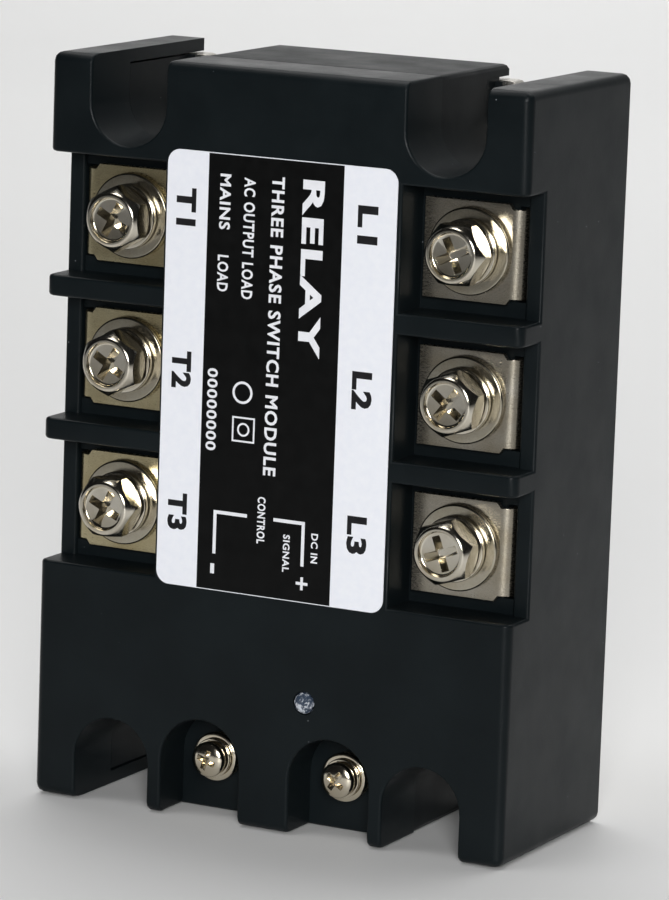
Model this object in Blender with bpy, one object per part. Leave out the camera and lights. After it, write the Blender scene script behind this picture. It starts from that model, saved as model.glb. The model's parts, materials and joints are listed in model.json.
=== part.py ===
"""Three-phase solid state relay, modelled as its separate pieces.

The relay stands on its short input end. +X runs across the width, +Z runs up
the long side, and the front face looks along -Y. The origin is at the middle
of the bottom of the bounding box. Depths are counted from the front face of
the housing, positive towards the metal base plate.
"""
import math

import bmesh
import bpy
from mathutils import Matrix, Vector

MM = 0.001

# Overall housing
WIDTH = 73.0 * MM
HEIGHT = 105.0 * MM
DEPTH = 32.0 * MM
HEAD_PROUD = 1.0 * MM
PLASTIC_DEPTH = 31.8 * MM
OUTER_RADIUS = 1.3 * MM
EDGE_RADIUS = 0.4 * MM
REAR_EDGE_RADIUS = 0.7 * MM
SKIN = 1.8 * MM
GAP = 0.3 * MM
SEAM_DEPTH = 10.6 * MM
FRONT_Y = HEAD_PROUD - (DEPTH + HEAD_PROUD) / 2

# Mounting notches at the four corners
NOTCH_X = 24.15 * MM
NOTCH_RADIUS = 5.85 * MM
NOTCH_RADIUS_REAR = 6.0 * MM
NOTCH_FROM_END = 6.4 * MM
LIP_RADIUS = 4.9 * MM
LIP_DEPTH = 27.5 * MM

# Terminal compartments, three rows on each side
ROW_Z = (82.55 * MM, 62.4 * MM, 42.2 * MM)
ROOM_HEIGHT = 17.2 * MM
ROOM_FLOOR = 6.6 * MM
ROOM_INNER_X = 18.1 * MM
FLOOR_THICK = 1.8 * MM
RIM_DEPTH = 5.8 * MM
RIM_INNER_X = 34.05 * MM
MOUTH_X = 33.0 * MM
TERMINAL_X = 26.0 * MM
BOSS_RADIUS = 5.6 * MM
BOSS_FLOOR = 1.8 * MM

# Busbar plates
BAR_THICK = 1.0 * MM
BAR_FRONT = 5.3 * MM
BAR_INNER_X = 19.0 * MM
BAR_HEIGHT = 13.6 * MM
BAR_TAB_HEIGHT = 12.1 * MM
BAR_TAB_X = 33.9 * MM
BAR_BEND = 2.0 * MM
BAR_TAB_END = 9.7 * MM
BAR_CLEAR = 0.4 * MM
LEG_HEIGHT = 6.0 * MM
LEG_END = 27.5 * MM
FOOT_X = 14.5 * MM

# Load screws, M5 with captive spring washer and flat washer
SCREW_RADIUS = 2.5 * MM
SCREW_TIP = 14.0 * MM
HEAD_FLAT = 4.0 * MM
DISH_RADIUS = 3.25 * MM
DISH_DEPTH = 0.55 * MM
CROSS_SIZE = (5.9 * MM, 1.25 * MM)
CROSS_DEPTH = 2.3 * MM
CROSS_TURN = 24
WASHER_RADIUS = 5.95 * MM
WASHER_BORE = 2.8 * MM
WASHER_THICK = 0.9 * MM
SPRING_RADIUS = 4.5 * MM
SPRING_BORE = 2.75 * MM
SPRING_THICK = 1.2 * MM
SLIT_HALF_ANGLE = 5
STACK_AIR = 0.05 * MM
NUT_THICK = 4.0 * MM

# Input end: two recesses with M3 screws on brass posts
INPUT_X = 10.1 * MM
INPUT_Z = 7.95 * MM
RECESS_X = 10.05 * MM
RECESS_RADIUS = 6.15 * MM
RECESS_Z = 7.9 * MM
RECESS_FLOOR = 6.9 * MM
POST_FRONT = 5.2 * MM
POST_RADIUS = 3.3 * MM
POST_NECK = 2.3 * MM
POST_BORE_END = 11.4 * MM
INPUT_SCREW_RADIUS = 1.5 * MM
INPUT_SCREW_TIP = 11.1 * MM
INPUT_HEAD_RADIUS = 2.45 * MM
INPUT_HEAD_FRONT = 2.0 * MM
INPUT_CROSS_SIZE = (3.1 * MM, 0.8 * MM)
INPUT_CROSS_DEPTH = 1.3 * MM
INPUT_WASHER_RADIUS = 3.42 * MM
INPUT_WASHER_BORE = 1.7 * MM
INPUT_WASHER_THICK = 0.5 * MM
INPUT_SPRING_RADIUS = 2.75 * MM
INPUT_SPRING_BORE = 1.65 * MM
INPUT_SPRING_THICK = 0.75 * MM

# Label and status lamp
LABEL_HALF_X = 17.55 * MM
LABEL_Z = (32.75 * MM, 93.2 * MM)
LABEL_RADIUS = 1.9 * MM
LABEL_THICK = 0.2 * MM
LABEL_AIR = 0.05 * MM
LAMP_X = 6.0 * MM
LAMP_Z = 18.8 * MM
LAMP_RADIUS = 1.5 * MM
LAMP_TIP = -0.85 * MM
LAMP_RIM = (3.4 * MM, 4.4 * MM)
LAMP_RIM_EXTRA = 0.4 * MM
LEAD_X = 1.27 * MM
LEAD_HALF = 0.25 * MM

# Base plate and the parts on it
PLATE_FRONT = 29.0 * MM
PLATE_HALF_X = 34.4 * MM
PLATE_Z = (2.0 * MM, 103.0 * MM)
PLATE_SLOT_RADIUS = 3.3 * MM
PLATE_MOUTH_RADIUS = 1.2 * MM
BOARD_FRONT = 12.9 * MM
BOARD_THICK = 1.6 * MM
BOARD_HALF_X = 15.2 * MM
BOARD_Z = (4.0 * MM, 99.0 * MM)
STUD_X = 11.0 * MM
STUD_Z = (30.0 * MM, 97.0 * MM)
STUD_RADIUS = 2.0 * MM
PACKAGE_X = (-9.2 * MM, -2.8 * MM)
PACKAGE_THICK = 3.4 * MM
PACKAGE_HALF_Z = 4.4 * MM
PACKAGE_CHAMFER = 0.35 * MM
RESISTOR_X = 6.0 * MM
RESISTOR_RADIUS = 1.2 * MM
RESISTOR_HALF = 3.2 * MM
RESISTOR_CAP = 2.2 * MM
BOARD_AIR = 0.1 * MM
CERAMIC_HALF = (22.0 * MM, 8.0 * MM)
CERAMIC_THICK = 0.8 * MM
CERAMIC_AIR = 0.2 * MM
CHIP_X = 7.0 * MM
CHIP_HALF = 4.5 * MM
CHIP_THICK = 0.4 * MM

ROUND = 24
SIDES = (("left", -1), ("right", 1))


def depth(value):
    """World Y of a depth counted from the front face."""
    return FRONT_Y + value


def clear_scene():
    for item in list(bpy.data.objects):
        bpy.data.objects.remove(item, do_unlink=True)


def material(name, colour, roughness, metallic):
    mat = bpy.data.materials.new(name)
    mat.use_nodes = True
    shader = mat.node_tree.nodes["Principled BSDF"]
    shader.inputs["Base Color"].default_value = (*colour, 1.0)
    shader.inputs["Roughness"].default_value = roughness
    shader.inputs["Metallic"].default_value = metallic
    return mat


def block(x, y, z):
    """Box between three pairs of limits; y is a pair of depths."""
    bm = bmesh.new()
    size = [abs(pair[1] - pair[0]) for pair in (x, y, z)]
    centre = Vector((sum(x) / 2, depth(sum(y) / 2), sum(z) / 2))
    bmesh.ops.create_cube(bm, size=1.0)
    bmesh.ops.scale(bm, vec=size, verts=bm.verts)
    bmesh.ops.translate(bm, vec=centre, verts=bm.verts)
    return bm


def prism(outline, y):
    """Solid between two depths with an outline of (x, z) points."""
    bm = bmesh.new()
    front = [bm.verts.new((px, depth(y[0]), pz)) for px, pz in outline]
    face = bm.faces.new(front)
    grown = bmesh.ops.extrude_face_region(bm, geom=[face])["geom"]
    moved = [item for item in grown if isinstance(item, bmesh.types.BMVert)]
    bmesh.ops.translate(bm, vec=(0, y[1] - y[0], 0), verts=moved)
    bmesh.ops.recalc_face_normals(bm, faces=bm.faces)
    return bm


def turned(profile, x, z, segments=ROUND):
    """Solid of revolution about a line along Y; profile is (radius, depth)."""
    bm = bmesh.new()
    rings = []
    for radius, level in profile:
        if radius == 0:
            rings.append([bm.verts.new((x, depth(level), z))])
            continue
        angles = [2 * math.pi * i / segments for i in range(segments)]
        rings.append([bm.verts.new((x + radius * math.cos(a), depth(level),
                                    z + radius * math.sin(a))) for a in angles])
    closed = profile[0][0] > 0
    pairs = list(zip(rings, rings[1:]))
    if closed:
        pairs.append((rings[-1], rings[0]))
    for first, second in pairs:
        for i in range(segments):
            j = (i + 1) % segments
            corners = [first[i % len(first)], first[j % len(first)],
                       second[j % len(second)], second[i % len(second)]]
            bm.faces.new(list(dict.fromkeys(corners)))
    bmesh.ops.recalc_face_normals(bm, faces=bm.faces)
    return bm


def rod(radius, y, x, z, segments=ROUND):
    """Plain cylinder along Y between two depths."""
    profile = [(0, y[0]), (radius, y[0]), (radius, y[1]), (0, y[1])]
    return turned(profile, x, z, segments)


def arc(x, z, radius, start, end, steps):
    """Points on an arc, angles in degrees from +X towards +Z."""
    points = []
    for i in range(steps + 1):
        a = math.radians(start + (end - start) * i / steps)
        points.append((x + radius * math.cos(a), z + radius * math.sin(a)))
    return points


def notch(side, top, radius, y):
    """U-shaped cutter that runs out through the top or the bottom end."""
    x = side * NOTCH_X
    if top:
        z = HEIGHT - NOTCH_FROM_END
        points = arc(x, z, radius, 180, 360, 16)
        outside = HEIGHT + 5 * MM
    else:
        z = NOTCH_FROM_END
        points = arc(x, z, radius, 0, 180, 16)
        outside = -5 * MM
    points += [(points[-1][0], outside), (points[0][0], outside)]
    return prism(points, y)


def recess(side, y):
    """Arched input recess, open at the bottom end."""
    points = arc(side * RECESS_X, RECESS_Z, RECESS_RADIUS, 0, 180, 16)
    points += [(points[-1][0], -5 * MM), (points[0][0], -5 * MM)]
    return prism(points, y)


def hexagon(x, z, flat, y):
    radius = flat / math.cos(math.pi / 6)
    return prism(arc(x, z, radius, 30, 330, 5), y)


def to_object(name, bm):
    mesh = bpy.data.meshes.new(name)
    bm.to_mesh(mesh)
    bm.free()
    obj = bpy.data.objects.new(name, mesh)
    bpy.context.scene.collection.objects.link(obj)
    return obj


def boolean(base, tool, operation):
    """Both bmeshes are used up; the result is a new bmesh."""
    target = to_object("target", base)
    cutter = to_object("cutter", tool)
    step = target.modifiers.new("step", "BOOLEAN")
    step.operation = operation
    step.object = cutter
    graph = bpy.context.evaluated_depsgraph_get()
    graph.update()
    result = bmesh.new()
    result.from_mesh(target.evaluated_get(graph).data)
    for item in (target, cutter):
        mesh = item.data
        bpy.data.objects.remove(item, do_unlink=True)
        bpy.data.meshes.remove(mesh)
    bmesh.ops.remove_doubles(result, verts=result.verts, dist=0.002 * MM)
    bmesh.ops.dissolve_limit(result, angle_limit=math.radians(0.3),
                             verts=result.verts, edges=result.edges)
    return result


def cut(base, *tools):
    for tool in tools:
        base = boolean(base, tool, "DIFFERENCE")
    return base


def join(base, *tools):
    for tool in tools:
        base = boolean(base, tool, "UNION")
    return base


def round_edges(bm, width, segments, wanted):
    edges = [edge for edge in bm.edges if wanted(edge)]
    bmesh.ops.bevel(bm, geom=edges, offset=width, offset_type="OFFSET",
                    segments=segments, profile=0.5, affect="EDGES",
                    clamp_overlap=True)
    return bm


def near(value, target):
    return abs(value - target) < 0.01 * MM


def finish(name, bm, mat, pivot=(0, 0, 0), smooth=35):
    """Make the named object, with its origin at the pivot."""
    bmesh.ops.translate(bm, vec=-Vector(pivot), verts=bm.verts)
    bmesh.ops.recalc_face_normals(bm, faces=bm.faces)
    obj = to_object(name, bm)
    obj.location = pivot
    obj.data.materials.append(mat)
    obj.data.shade_smooth()
    obj.data.set_sharp_from_angle(angle=math.radians(smooth))
    return obj


def repeat(name, source, pivot):
    """Another object on the same mesh, moved to its own place."""
    obj = bpy.data.objects.new(name, source.data)
    obj.location = pivot
    bpy.context.scene.collection.objects.link(obj)
    return obj


# ---------------------------------------------------------------- housing

def cover_body():
    half = WIDTH / 2
    body = block((-half, half), (0, PLASTIC_DEPTH), (0, HEIGHT))
    back = depth(PLASTIC_DEPTH)
    body = round_edges(body, OUTER_RADIUS, 3,
                       lambda e: not all(near(v.co.y, back) for v in e.verts))
    inner = half - SKIN
    behind = (SEAM_DEPTH, PLASTIC_DEPTH + 1 * MM)
    wall = NOTCH_X + NOTCH_RADIUS
    body = cut(body,
               block((-inner, inner), behind, (SKIN, HEIGHT - SKIN)),
               block((-wall, wall), behind, (-1 * MM, HEIGHT + 1 * MM)))
    return body


def cover_hollows():
    """Boxes taken out of the inside, no two with walls in the same plane."""
    until = SEAM_DEPTH + 0.5 * MM
    under_floor = ROOM_FLOOR + FLOOR_THICK
    inner = WIDTH / 2 - SKIN
    centre = ROOM_INNER_X - SKIN
    above_slot = 2 * NOTCH_FROM_END + 1.2 * MM
    low_top = ROW_Z[2] - ROOM_HEIGHT / 2 - SKIN
    room_top = ROW_Z[0] + ROOM_HEIGHT / 2
    arch_top = RECESS_Z + RECESS_RADIUS
    yield block((-centre, centre), (SKIN, until),
                (arch_top + SKIN, HEIGHT - 1.1 * SKIN))
    back_x = centre - 0.2 * MM
    yield block((-back_x, back_x), (RECESS_FLOOR + SKIN, until),
                (1.1 * SKIN, arch_top + 2 * SKIN))
    for _, side in SIDES:
        rooms = sorted((side * (centre - 1 * MM), side * (inner - 0.2 * MM)))
        yield block(rooms, (under_floor, until), (above_slot, room_top - 0.2 * MM))
        lower = sorted((side * (ROOM_INNER_X + SKIN), side * (inner - 0.3 * MM)))
        yield block(lower, (1.1 * SKIN, until), (above_slot + 0.1 * MM, low_top))
        narrow = NOTCH_X + NOTCH_RADIUS + SKIN
        foot = sorted((side * narrow, side * (inner - 0.4 * MM)))
        yield block(foot, (1.2 * SKIN, until), (1.2 * SKIN, above_slot + 1 * MM))
        tower = sorted((side * narrow, side * (inner - 0.4 * MM)))
        yield block(tower, (1.2 * SKIN, until), (room_top + SKIN, HEIGHT - 1.2 * SKIN))


def cover_openings():
    """Notches, compartments and input recesses cut in from outside."""
    front = (-2 * MM, SEAM_DEPTH + 0.5 * MM)
    for _, side in SIDES:
        yield notch(side, True, NOTCH_RADIUS, front)
        yield notch(side, False, NOTCH_RADIUS, front)
        yield recess(side, (-2 * MM, RECESS_FLOOR))
        for z in ROW_Z:
            tall = (z - ROOM_HEIGHT / 2, z + ROOM_HEIGHT / 2)
            room = sorted((side * ROOM_INNER_X, side * RIM_INNER_X))
            yield block(room, (-2 * MM, ROOM_FLOOR), tall)
            mouth = sorted((side * MOUTH_X, side * (WIDTH / 2 + 1 * MM)))
            yield block(mouth, (-2 * MM, RIM_DEPTH), tall)


def on_outside(edge):
    """Sharp convex edge of the outer surface, the ones that get rounded."""
    if len(edge.link_faces) != 2 or not edge.is_convex:
        return False
    if edge.calc_face_angle(0) < math.radians(40):
        return False
    limit = depth(SEAM_DEPTH) - 0.5 * MM
    middle = (edge.verts[0].co + edge.verts[1].co) / 2
    if middle.y > limit + 0.4 * MM:
        return False
    for face in edge.link_faces:
        if face.calc_center_median().y > limit:
            return False
        if is_inner(face):
            return False
    return True


def is_inner(face):
    """Faces of the hollow inside look back towards the base plate."""
    centre = face.calc_center_median()
    return face.normal.y > 0.5 and centre.y > depth(SKIN) - 0.1 * MM


def cover_details(body):
    """Bosses, nut pockets, slots for the busbars and the round holes."""
    floor = (ROOM_FLOOR - 1 * MM, ROOM_FLOOR + FLOOR_THICK + 1 * MM)
    for _, side in SIDES:
        x = side * TERMINAL_X
        for z in ROW_Z:
            pocket_end = ROOM_FLOOR + NUT_THICK + GAP
            boss_y = (ROOM_FLOOR + FLOOR_THICK / 3, ROOM_FLOOR + NUT_THICK + BOSS_FLOOR)
            body = join(body, rod(BOSS_RADIUS, boss_y, x, z))
            body = cut(body,
                       hexagon(x, z, HEAD_FLAT + GAP, (floor[0], pocket_end)),
                       rod(SCREW_RADIUS + BAR_CLEAR, (pocket_end - 2 * MM, boss_y[1] + 2 * MM),
                           x, z, 16),
                       bar_slot(side, BAR_INNER_X, floor, z, LEG_HEIGHT),
                       bar_slot(side, BAR_TAB_X - BAR_THICK, floor, z, BAR_TAB_HEIGHT))
        post_y = (RECESS_FLOOR - 1 * MM, RECESS_FLOOR + SKIN + 1 * MM)
        body = cut(body, rod(POST_NECK + GAP, post_y, side * INPUT_X, INPUT_Z, 20))
        for z in STUD_Z:
            stud_y = (SKIN / 2, BOARD_FRONT - GAP)
            body = join(body, rod(STUD_RADIUS, stud_y, side * STUD_X, z, 16))
    return cut(body, rod(LAMP_RADIUS + 0.15 * MM, (-1 * MM, 2 * SKIN), LAMP_X, LAMP_Z))


def bar_slot(side, inner_x, y, z, height):
    """Slot in the floor for one end of a busbar, open by the usual clearance."""
    near_x = inner_x - BAR_CLEAR
    far_x = min(inner_x + BAR_THICK + BAR_CLEAR, RIM_INNER_X)
    half = height / 2 + BAR_CLEAR
    return block(sorted((side * near_x, side * far_x)), y, (z - half, z + half))


def build_cover(mat):
    body = cut(cover_body(), *cover_openings())
    body = round_edges(body, EDGE_RADIUS, 2, on_outside)
    body = cut(body, *cover_hollows())
    return finish("front_housing", cover_details(body), mat)


def build_rear_case(mat):
    """Frame between the front housing and the base plate."""
    y = (SEAM_DEPTH + GAP, PLASTIC_DEPTH)
    side_x = WIDTH / 2 - SKIN - GAP
    block_x = NOTCH_X - NOTCH_RADIUS_REAR
    end = SKIN + GAP
    middle = round_edges(block((-block_x, block_x), y, (0, HEIGHT)), REAR_EDGE_RADIUS, 2,
                         is_rear_corner)
    body = join(block((-side_x, side_x), (y[0], PLATE_FRONT - GAP), (end, HEIGHT - end)),
                middle)
    wall = 1.6 * MM
    low = 2 * NOTCH_FROM_END + 1.2 * MM
    through = (y[0] - 1 * MM, y[1] + 1 * MM)
    rear = (PLATE_FRONT - GAP, y[1] + 1 * MM)
    tall = (wall, HEIGHT - wall)
    body = cut(body,
               block((wall - block_x, block_x - wall), through, tall),
               block((wall - side_x, side_x - wall), through, (low, HEIGHT - low)),
               block((-side_x - 1 * MM, side_x + 1 * MM), rear, tall))
    for _, side in SIDES:
        for top in (True, False):
            body = cut(body,
                       notch(side, top, NOTCH_RADIUS_REAR, (through[0], LIP_DEPTH)),
                       notch(side, top, LIP_RADIUS, through))
    return finish("rear_case", body, mat)


def is_rear_corner(edge):
    """Edges along Y, and those across the width on the side of the plate."""
    along = edge.verts[0].co - edge.verts[1].co
    if abs(along.y) > 1 * MM:
        return True
    at_back = near(edge.verts[0].co.y, depth(PLASTIC_DEPTH))
    return at_back and abs(along.x) > 1 * MM


def build_base_plate(mat):
    y = (PLATE_FRONT, DEPTH)
    body = block((-PLATE_HALF_X, PLATE_HALF_X), y, PLATE_Z)
    through = (y[0] - 1 * MM, y[1] + 1 * MM)
    for _, side in SIDES:
        for top in (True, False):
            body = cut(body, notch(side, top, PLATE_SLOT_RADIUS, through))
    body = round_edges(body, PLATE_MOUTH_RADIUS, 3, is_plate_corner)
    return finish("base_plate", body, mat)


def is_plate_corner(edge):
    """Edges along Y at the ends of the plate: its corners and slot mouths."""
    along = edge.verts[0].co - edge.verts[1].co
    at_end = any(near(edge.verts[0].co.z, z) for z in PLATE_Z)
    return at_end and abs(along.y) > 1 * MM


def build_label(mat):
    x, radius = LABEL_HALF_X, LABEL_RADIUS
    low, high = LABEL_Z
    points = (arc(x - radius, high - radius, radius, 0, 90, 6)
              + arc(radius - x, high - radius, radius, 90, 180, 6)
              + arc(radius - x, low + radius, radius, 180, 270, 6)
              + arc(x - radius, low + radius, radius, 270, 360, 6))
    back = -LABEL_AIR
    return finish("label", prism(points, (back - LABEL_THICK, back)), mat)


# ---------------------------------------------------------------- terminals

def bar_path(side):
    """Centre line of a busbar in plan, with the bar's height at each point."""
    half = BAR_THICK / 2
    bend = BAR_BEND - half
    start_x = BAR_TAB_X - BAR_BEND
    centre_y = BAR_FRONT + BAR_BEND
    path = []
    path.append((BAR_TAB_X - half, BAR_TAB_END, BAR_TAB_HEIGHT))
    for i in range(6):
        a = math.radians(90 * (1 - i / 5))
        height = BAR_TAB_HEIGHT
        path.append((start_x + bend * math.sin(a), centre_y - bend * math.cos(a), height))
    path.append((start_x - 0.5 * MM, BAR_FRONT + half, BAR_HEIGHT))
    path.append((BAR_INNER_X, BAR_FRONT + half, BAR_HEIGHT))
    return [(side * x, y, height) for x, y, height in path]


def strip(points, thickness, z):
    """Bent strip: each point is (x, depth, height), square to its path."""
    bm = bmesh.new()
    rings = []
    for i, (x, y, height) in enumerate(points):
        before = Vector(points[max(i - 1, 0)][:2])
        after = Vector(points[min(i + 1, len(points) - 1)][:2])
        along = (after - before).normalized()
        across = Vector((-along.y, along.x)) * (thickness / 2)
        ring = []
        for sign_t, sign_z in ((1, 1), (1, -1), (-1, -1), (-1, 1)):
            ring.append(bm.verts.new((x + sign_t * across.x,
                                      depth(y) + sign_t * across.y,
                                      z + sign_z * height / 2)))
        rings.append(ring)
    for first, second in zip(rings, rings[1:]):
        for k in range(4):
            m = (k + 1) % 4
            bm.faces.new((first[k], first[m], second[m], second[k]))
    bm.faces.new(rings[0])
    bm.faces.new(rings[-1][::-1])
    bmesh.ops.recalc_face_normals(bm, faces=bm.faces)
    return bm


def bar_leg(side, z):
    """Leg from the inner edge of the plate down to its foot on the ceramic."""
    low = sorted((side * BAR_INNER_X, side * (BAR_INNER_X + BAR_THICK)))
    tall = (z - LEG_HEIGHT / 2, z + LEG_HEIGHT / 2)
    leg = block(low, (BAR_FRONT + 0.2 * MM, LEG_END), tall)
    foot = sorted((side * FOOT_X, side * (BAR_INNER_X + BAR_THICK)))
    return join(leg, block(foot, (LEG_END - BAR_THICK, LEG_END), tall))


def build_busbar(name, side, z, mat):
    bar = join(strip(bar_path(side), BAR_THICK, z), bar_leg(side, z))
    hole = SCREW_RADIUS + 0.35 * MM
    bar = cut(bar, rod(hole, (0, BAR_TAB_END), side * TERMINAL_X, z))
    return finish(name, bar, mat)


def screw_levels():
    """Depths of the head front, head back and the two washers' fronts."""
    flat = BAR_FRONT - STACK_AIR - WASHER_THICK
    spring = flat - STACK_AIR - SPRING_THICK
    head_back = spring - STACK_AIR
    return -HEAD_PROUD, head_back, spring, flat


def cross_recess(x, z, size, y):
    """Cross-shaped driver recess, narrower at its bottom."""
    length, width = size
    tool = block((x - length / 2, x + length / 2), y, (z - width / 2, z + width / 2))
    other = block((x - width / 2, x + width / 2), y, (z - length / 2, z + length / 2))
    tool = join(tool, other)
    bottom = depth(y[1])
    centre = Vector((x, 0, z))
    for vert in tool.verts:
        if near(vert.co.y, bottom):
            flat = Vector((vert.co.x, 0, vert.co.z))
            moved = centre + (flat - centre) * 0.45
            vert.co.x, vert.co.z = moved.x, moved.z
    turn = Matrix.Rotation(math.radians(CROSS_TURN), 3, "Y")
    bmesh.ops.rotate(tool, cent=centre, matrix=turn, verts=tool.verts)
    return tool


def build_screw(name, x, z, mat):
    front, back, _, _ = screw_levels()
    head = hexagon(x, z, HEAD_FLAT, (front, back))
    rim = HEAD_FLAT - 0.05 * MM
    corner = HEAD_FLAT / math.cos(math.pi / 6) + 0.1 * MM
    shell = [(0, front), (rim - 0.25 * MM, front), (rim, front + 0.25 * MM),
             (corner, front + 0.75 * MM), (corner, back), (0, back)]
    head = boolean(head, turned(shell, x, z, 24), "INTERSECT")
    fillet = 0.25 * MM
    floor = front + DISH_DEPTH
    dish = [(0, front - 1 * MM), (DISH_RADIUS, front - 1 * MM),
            (DISH_RADIUS, floor - fillet), (DISH_RADIUS - fillet, floor), (0, floor)]
    head = cut(head, turned(dish, x, z, 20))
    head = cut(head, cross_recess(x, z, CROSS_SIZE, (front - 0.5 * MM, front + CROSS_DEPTH)))
    shank = [(0, back - 0.5 * MM), (SCREW_RADIUS, back - 0.5 * MM),
             (SCREW_RADIUS, SCREW_TIP - 0.6 * MM),
             (SCREW_RADIUS - 0.6 * MM, SCREW_TIP), (0, SCREW_TIP)]
    head = join(head, turned(shank, x, z, 16))
    return finish(name, head, mat, (x, depth(back), z))


def build_spring_washer(name, x, z, radius, bore, y, mat):
    """Split ring: one slit, its ends standing a little apart."""
    bm = bmesh.new()
    steps = 22
    slit = math.radians(SLIT_HALF_ANGLE)
    rings = []
    for i in range(steps + 1):
        a = slit + (2 * math.pi - 2 * slit) * i / steps
        ring = []
        for r, level in ((bore, y[0]), (radius, y[0]), (radius, y[1]), (bore, y[1])):
            ring.append(bm.verts.new((x + r * math.cos(a), depth(level),
                                      z + r * math.sin(a))))
        rings.append(ring)
    for first, second in zip(rings, rings[1:]):
        for k in range(4):
            m = (k + 1) % 4
            bm.faces.new((first[k], first[m], second[m], second[k]))
    bm.faces.new(rings[0])
    bm.faces.new(rings[-1][::-1])
    return finish(name, bm, mat, (x, depth(y[1]), z))


def build_flat_washer(name, x, z, radius, bore, y, mat, segments=28):
    chamfer = 0.12 * MM
    profile = [(bore, y[0]), (radius - chamfer, y[0]), (radius, y[0] + chamfer),
               (radius, y[1]), (bore, y[1])]
    return finish(name, turned(profile, x, z, segments), mat, (x, depth(y[1]), z))


def build_nut(name, x, z, mat):
    y = (ROOM_FLOOR + STACK_AIR, ROOM_FLOOR + NUT_THICK)
    nut = hexagon(x, z, HEAD_FLAT, y)
    bore = SCREW_RADIUS + 0.15 * MM
    nut = cut(nut, rod(bore, (y[0] - 1 * MM, y[1] + 1 * MM), x, z))
    return finish(name, nut, mat, (x, depth(y[0]), z))


def build_terminals(plated, steel):
    """Busbar, nut, washers and screw of every load terminal."""
    first = None
    _, _, spring, flat = screw_levels()
    for label, side in SIDES:
        for row, z in enumerate(ROW_Z, 1):
            tag = f"{label}_{row}"
            x = side * TERMINAL_X
            build_busbar(f"busbar_{tag}", side, z, plated)
            if first is None:
                spring_y = (spring, spring + SPRING_THICK)
                flat_y = (flat, flat + WASHER_THICK)
                first = [build_screw(f"screw_{tag}", x, z, steel),
                         build_spring_washer(f"spring_washer_{tag}", x, z, SPRING_RADIUS,
                                             SPRING_BORE, spring_y, steel),
                         build_flat_washer(f"flat_washer_{tag}", x, z, WASHER_RADIUS,
                                           WASHER_BORE, flat_y, steel),
                         build_nut(f"nut_{tag}", x, z, steel)]
                continue
            for source in first:
                kind = source.name.rsplit("_", 2)[0]
                repeat(f"{kind}_{tag}", source, (x, source.location.y, z))


# ---------------------------------------------------------------- input end

def input_levels():
    """Depths of the fronts of the spring washer and the flat washer."""
    flat = POST_FRONT - STACK_AIR - INPUT_WASHER_THICK
    return flat - STACK_AIR - INPUT_SPRING_THICK, flat


def build_input_screw(name, x, z, mat):
    front = INPUT_HEAD_FRONT
    back = input_levels()[0] - STACK_AIR
    radius = INPUT_HEAD_RADIUS
    tip = INPUT_SCREW_TIP
    head = [(0, front - 0.05 * MM), (radius * 0.55, front),
            (radius * 0.85, front + 0.25 * MM), (radius, front + 0.75 * MM),
            (radius, back), (INPUT_SCREW_RADIUS, back),
            (INPUT_SCREW_RADIUS, tip - 0.5 * MM), (INPUT_SCREW_RADIUS * 0.6, tip),
            (0, tip)]
    body = turned(head, x, z)
    recess_y = (front - 0.5 * MM, front + INPUT_CROSS_DEPTH)
    body = cut(body, cross_recess(x, z, INPUT_CROSS_SIZE, recess_y))
    return finish(name, body, mat, (x, depth(back), z))


def build_input_post(name, x, z, mat):
    """Threaded brass post: flange in the recess, neck down to the board."""
    front = POST_FRONT
    neck = POST_NECK
    bore = INPUT_SCREW_RADIUS + 0.15 * MM
    profile = [(0, POST_BORE_END + 0.2 * MM), (bore, POST_BORE_END), (bore, front),
               (POST_RADIUS - 0.2 * MM, front), (POST_RADIUS, front + 0.2 * MM),
               (POST_RADIUS, RECESS_FLOOR - GAP), (neck, RECESS_FLOOR - GAP),
               (neck, BOARD_FRONT - GAP), (0, BOARD_FRONT - GAP)]
    return finish(name, turned(profile, x, z, 20), mat)


def build_input_terminals(plated, steel):
    spring, flat = input_levels()
    for label, side in (("minus", -1), ("plus", 1)):
        x = side * INPUT_X
        build_input_post(f"input_post_{label}", x, INPUT_Z, plated)
        build_input_screw(f"input_screw_{label}", x, INPUT_Z, steel)
        build_spring_washer(f"input_spring_washer_{label}", x, INPUT_Z,
                            INPUT_SPRING_RADIUS, INPUT_SPRING_BORE,
                            (spring, spring + INPUT_SPRING_THICK), steel)
        build_flat_washer(f"input_flat_washer_{label}", x, INPUT_Z,
                          INPUT_WASHER_RADIUS, INPUT_WASHER_BORE,
                          (flat, flat + INPUT_WASHER_THICK), steel, 20)


# ---------------------------------------------------------------- electronics

def build_lamp(mat):
    """3 mm status lamp: dome, barrel, rim and its two leads to the board."""
    r = LAMP_RADIUS
    rim = r + LAMP_RIM_EXTRA
    profile = [(0, LAMP_TIP)]
    for i in range(1, 6):
        a = math.radians(18 * i)
        profile.append((r * math.sin(a), LAMP_TIP + r * (1 - math.cos(a))))
    profile += [(r, LAMP_RIM[0]), (rim, LAMP_RIM[0]), (rim, LAMP_RIM[1]), (0, LAMP_RIM[1])]
    body = turned(profile, LAMP_X, LAMP_Z, ROUND)
    for sign in (-1, 1):
        x = LAMP_X + sign * LEAD_X
        lead = block((x - LEAD_HALF, x + LEAD_HALF),
                     (LAMP_RIM[1] - 0.2 * MM, BOARD_FRONT - GAP),
                     (LAMP_Z - LEAD_HALF, LAMP_Z + LEAD_HALF))
        body = join(body, lead)
    return finish("status_lamp", body, mat)


def build_board(mats):
    y = (BOARD_FRONT, BOARD_FRONT + BOARD_THICK)
    board = block((-BOARD_HALF_X, BOARD_HALF_X), y, BOARD_Z)
    finish("circuit_board", board, mats["board"])
    for row, z in enumerate(ROW_Z, 1):
        build_optocoupler(f"optocoupler_{row}", z, mats["package"])
        build_resistor(f"gate_resistor_{row}", z, mats["resistor"])


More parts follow.
